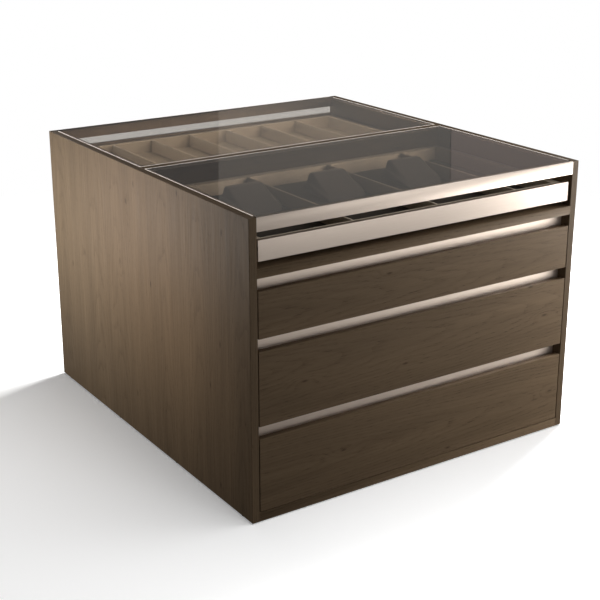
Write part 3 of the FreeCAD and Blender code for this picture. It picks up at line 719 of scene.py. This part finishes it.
def white_to(tree, mirrored, rest):
    """Strength 1 for the camera and straight through glass, and a level for each other ray."""
    path = add_node(tree, "ShaderNodeLightPath").outputs
    level = add_node(tree, "ShaderNodeMapRange", {}, {
        "Value": path["Is Glossy Ray"], "To Min": rest, "To Max": mirrored}).outputs[0]
    level = add_node(tree, "ShaderNodeMath", {"operation": "MAXIMUM"},
                     {0: path["Is Camera Ray"], 1: level}).outputs[0]
    straight = add_node(tree, "ShaderNodeMath", {"operation": "LESS_THAN"},
                        {0: path["Glossy Depth"], 1: NO_MIRROR_YET}).outputs[0]
    straight = add_node(tree, "ShaderNodeMath", {"operation": "MULTIPLY"},
                        {0: path["Is Transmission Ray"], 1: straight}).outputs[0]
    return add_node(tree, "ShaderNodeMath", {"operation": "MAXIMUM"},
                    {0: straight, 1: level}).outputs[0]


def white_world():
    """White all round for the camera, and a dim even light on the island."""
    world = bpy.data.worlds.new("white_studio")
    tree = new_tree(world)
    sky = add_node(tree, "ShaderNodeBackground", {},
                   {"Color": WHITE, "Strength": white_to(tree, AMBIENT, AMBIENT)})
    add_node(tree, "ShaderNodeOutputWorld", {}, {"Surface": sky.outputs[0]})
    bpy.context.scene.world = world


def white_floor():
    """A white floor that holds the island's shadow and fades to plain white round it."""
    mesh = bpy.data.meshes.new("studio_floor")
    floor = bpy.data.objects.new("studio_floor", mesh)
    SHOWN.objects.link(floor)
    corners = [(x * FLOOR_HALF, y * FLOOR_HALF, 0) for x, y in ((-1, -1), (1, -1), (1, 1), (-1, 1))]
    mesh.from_pydata(corners, [], [(0, 1, 2, 3)])
    material, tree, place = new_material("painted_studio_floor")
    reach = add_node(tree, "ShaderNodeVectorMath", {"operation": "LENGTH"}, {0: place}).outputs["Value"]
    far = add_node(tree, "ShaderNodeMapRange", {"interpolation_type": "SMOOTHSTEP"}, {
        "Value": reach, "From Min": LIT_FLOOR[0], "From Max": LIT_FLOOR[1],
        "To Min": 0.0, "To Max": 1.0}).outputs[0]
    path = add_node(tree, "ShaderNodeLightPath").outputs
    paint = add_node(tree, "ShaderNodeMapRange", {}, {
        "Value": path["Is Camera Ray"], "To Min": FLOOR_BOUNCE, "To Max": 1.0}).outputs[0]
    paint = add_node(tree, "ShaderNodeMix", {"data_type": "RGBA"}, {
        FACTOR: far, COLOUR_A: paint, COLOUR_B: BLACK}).outputs[MIXED]
    lift = add_node(tree, "ShaderNodeMapRange", {}, {
        "Value": far, "To Min": FLOOR_LIFT, "To Max": 1.0}).outputs[0]
    glow = add_node(tree, "ShaderNodeMath", {"operation": "MULTIPLY"},
                    {0: lift, 1: white_to(tree, MIRRORED, 0.0)}).outputs[0]
    matt = add_node(tree, "ShaderNodeBsdfDiffuse", {}, {"Color": paint})
    plain = add_node(tree, "ShaderNodeEmission", {}, {"Color": WHITE, "Strength": glow})
    paint_and_glow = add_node(tree, "ShaderNodeAddShader", {},
                              {0: matt.outputs[0], 1: plain.outputs[0]})
    add_node(tree, "ShaderNodeOutputMaterial", {}, {"Surface": paint_and_glow.outputs[0]})
    mesh.materials.append(material)


# A softbox lights the island apart from its panes. A card lights only panes or metal, which mirror
# it. The other lamps light only the trays or the floor.
SOFTBOXES = {
    # name: (place, aim, width, height, watts, what it lights)
    "softbox_right": ((1.7, -1.05, 0.8), (0.2, -0.6, 0.5), 0.6, 1.0, 25, "island"),
    "softbox_right_low": ((1.7, -1.4, 0.5), (0.3, -0.66, 0.4), 0.8, 0.8, 5.2, "island"),
    "softbox_front": ((0.9, -2.6, 0.9), (0.3, -0.6, 0.5), 1.2, 1.2, 6.3, "fronts"),
    "softbox_left_rear": ((-1.1, 0.65, 0.61), (-0.6, 0.55, 0.59), 0.6, 0.5, 5.1, "island"),
    "softbox_left_front": ((-1.05, 0.0, 0.74), (-0.6, -0.05, 0.72), 0.6, 0.5, 2.7, "island"),
    "softbox_key": ((2.6, 0.2, 2.4), (0.0, 0.0, 0.3), 1.8, 1.8, 14, "island"),
    "softbox_top_front": ((0.5, -0.9, 3.2), (0.3, -0.9, 0.0), 1.2, 1.0, 6, "island"),
    "softbox_rear": ((-0.5, 2.8, 1.2), (-0.1, 0.66, 0.5), 0.8, 1.4, 30, "island"),
    "softbox_far_right": ((3.0, 0.6, 1.4), (0.6, 0.1, 0.5), 1.2, 1.4, 9, "island"),
    "glass_card": ((1.89, 2.5, 1.75), (-0.2, -0.5, 0.9), 1.35, 1.7, 1.0, "panes"),
    "glass_card_right": ((2.94, 1.77, 1.75), (0.85, -1.23, 0.9), 1.2, 1.7, 1.5, "panes"),
    "tray_softbox": ((1.5, -3.0, 1.9), (0.0, -0.3, 0.85), 1.5, 1.5, 185, "trays"),
    "tray_fill": ((-2.2, 0.3, 2.1), (0.3, 0.2, 0.85), 1.2, 1.2, 70, "rear tray"),
    "tray_overhead": ((0.5, -0.6, 2.7), (0.0, 0.4, 0.8), 1.2, 0.8, 74, "rear tray"),
    "grip_card": ((1.65, -1.7, 0.62), (0.35, -0.62, 0.5), 1.2, 1.1, 13.5, "grips"),
    "metal_card_rear": ((0.2, 2.7, 0.6), (0.0, 0.62, 0.4), 4.4, 1.2, 25, "rear metal"),
    "metal_card_left": ((-2.6, -2.5, 0.9), (0.0, -0.65, 0.6), 1.6, 1.4, 15, "front metal"),
    "trim_card": ((1.7, 2.6, 1.75), (0.0, 0.0, 0.9), 3.5, 1.2, 35, "trims"),
    "floor_key": ((2.2, 0.8, 2.8), (0.0, 0.0, 0.3), 1.6, 1.6, 290, "floor"),
    "floor_front": ((-0.3, -2.6, 2.0), (-0.2, -1.6, 0.0), 1.5, 1.0, 17, "floor"),
    "floor_overhead": ((0.8, -0.6, 3.6), (0.6, -0.6, 0.0), 3.0, 3.0, 112, "floor"),
}
TINTS = {
    # the lamps that aren't white
    "softbox_left_rear": "#EDF4FC",
    "softbox_left_front": "#FFF6EC",
    "glass_card": "#FFF4E6",
    "glass_card_right": "#FFE8DE",
}
LIT = {
    # what a lamp lights: (how it is linked, how the names of those pieces start)
    "island": ("EXCLUDE", ("studio_floor", "glass_top")),
    "fronts": ("EXCLUDE", ("studio_floor", "glass_top", "side_panel_right")),
    "panes": ("INCLUDE", ("glass_top",)),
    "trays": ("INCLUDE", ("tray_", "jewel_box", "bust_")),
    "rear tray": ("INCLUDE", ("tray_lining_rear", "tray_dividers_rear")),
    "grips": ("INCLUDE", ("grip_profile",)),
    "front metal": ("INCLUDE", ("grip_profile_front", "jewel_front_front", "top_rail_front")),
    "rear metal": ("INCLUDE", ("grip_profile_rear", "jewel_front_rear")),
    "trims": ("INCLUDE", ("glass_trim", "top_rail")),
    "floor": ("INCLUDE", ("studio_floor",)),
}


def light_links():
    """A set of objects for each way that a lamp is linked."""
    links = {}
    for name, (state, starts) in LIT.items():
        links[name] = bpy.data.collections.new("lit_" + name)
        for thing in bpy.data.objects:
            if thing.type == "MESH" and thing.name.startswith(starts):
                links[name].objects.link(thing)
        for entry in links[name].collection_objects:
            entry.light_linking.link_state = state
    return links


def place_softboxes(links):
    """Large soft lamps, out of the camera's sight, that each light one set of pieces."""
    for name, (place, aim, width, height, watts, lit) in SOFTBOXES.items():
        lamp = bpy.data.lights.new(name, "AREA")
        lamp.shape = "RECTANGLE"
        lamp.size = width
        lamp.size_y = height
        lamp.energy = watts
        lamp.color = linear(TINTS.get(name, "#FFFFFF"))[:3]
        holder = bpy.data.objects.new(name, lamp)
        SHOWN.objects.link(holder)
        holder.location = place
        toward = Vector(aim) - Vector(place)
        holder.rotation_euler = toward.to_track_quat("-Z", "Y").to_euler()
        holder.visible_camera = False
        holder.visible_transmission = False
        holder.light_linking.receiver_collection = links[lit]


CAMERA_PLACE = (-2.2368, -3.3773, 1.8080)
CAMERA_PITCH = 0.3192      # radians below the level
CAMERA_YAW = 0.5845        # radians to the right of +Y
CAMERA_LENS = 75.78        # millimetres
SENSOR_WIDTH = 36.0        # millimetres
CAMERA_SHIFT = -0.05


def place_camera():
    """A long lens at standing height, off the front left corner."""
    lens = bpy.data.cameras.new("camera")
    lens.sensor_width = SENSOR_WIDTH
    lens.lens = CAMERA_LENS
    lens.shift_y = CAMERA_SHIFT
    camera = bpy.data.objects.new("camera", lens)
    SHOWN.objects.link(camera)
    camera.location = CAMERA_PLACE
    camera.rotation_euler = (math.pi / 2 - CAMERA_PITCH, 0.0, -CAMERA_YAW)
    bpy.context.scene.camera = camera


white_world()
white_floor()
place_softboxes(light_links())
place_camera()
bpy.context.scene.view_settings.view_transform = "Standard"
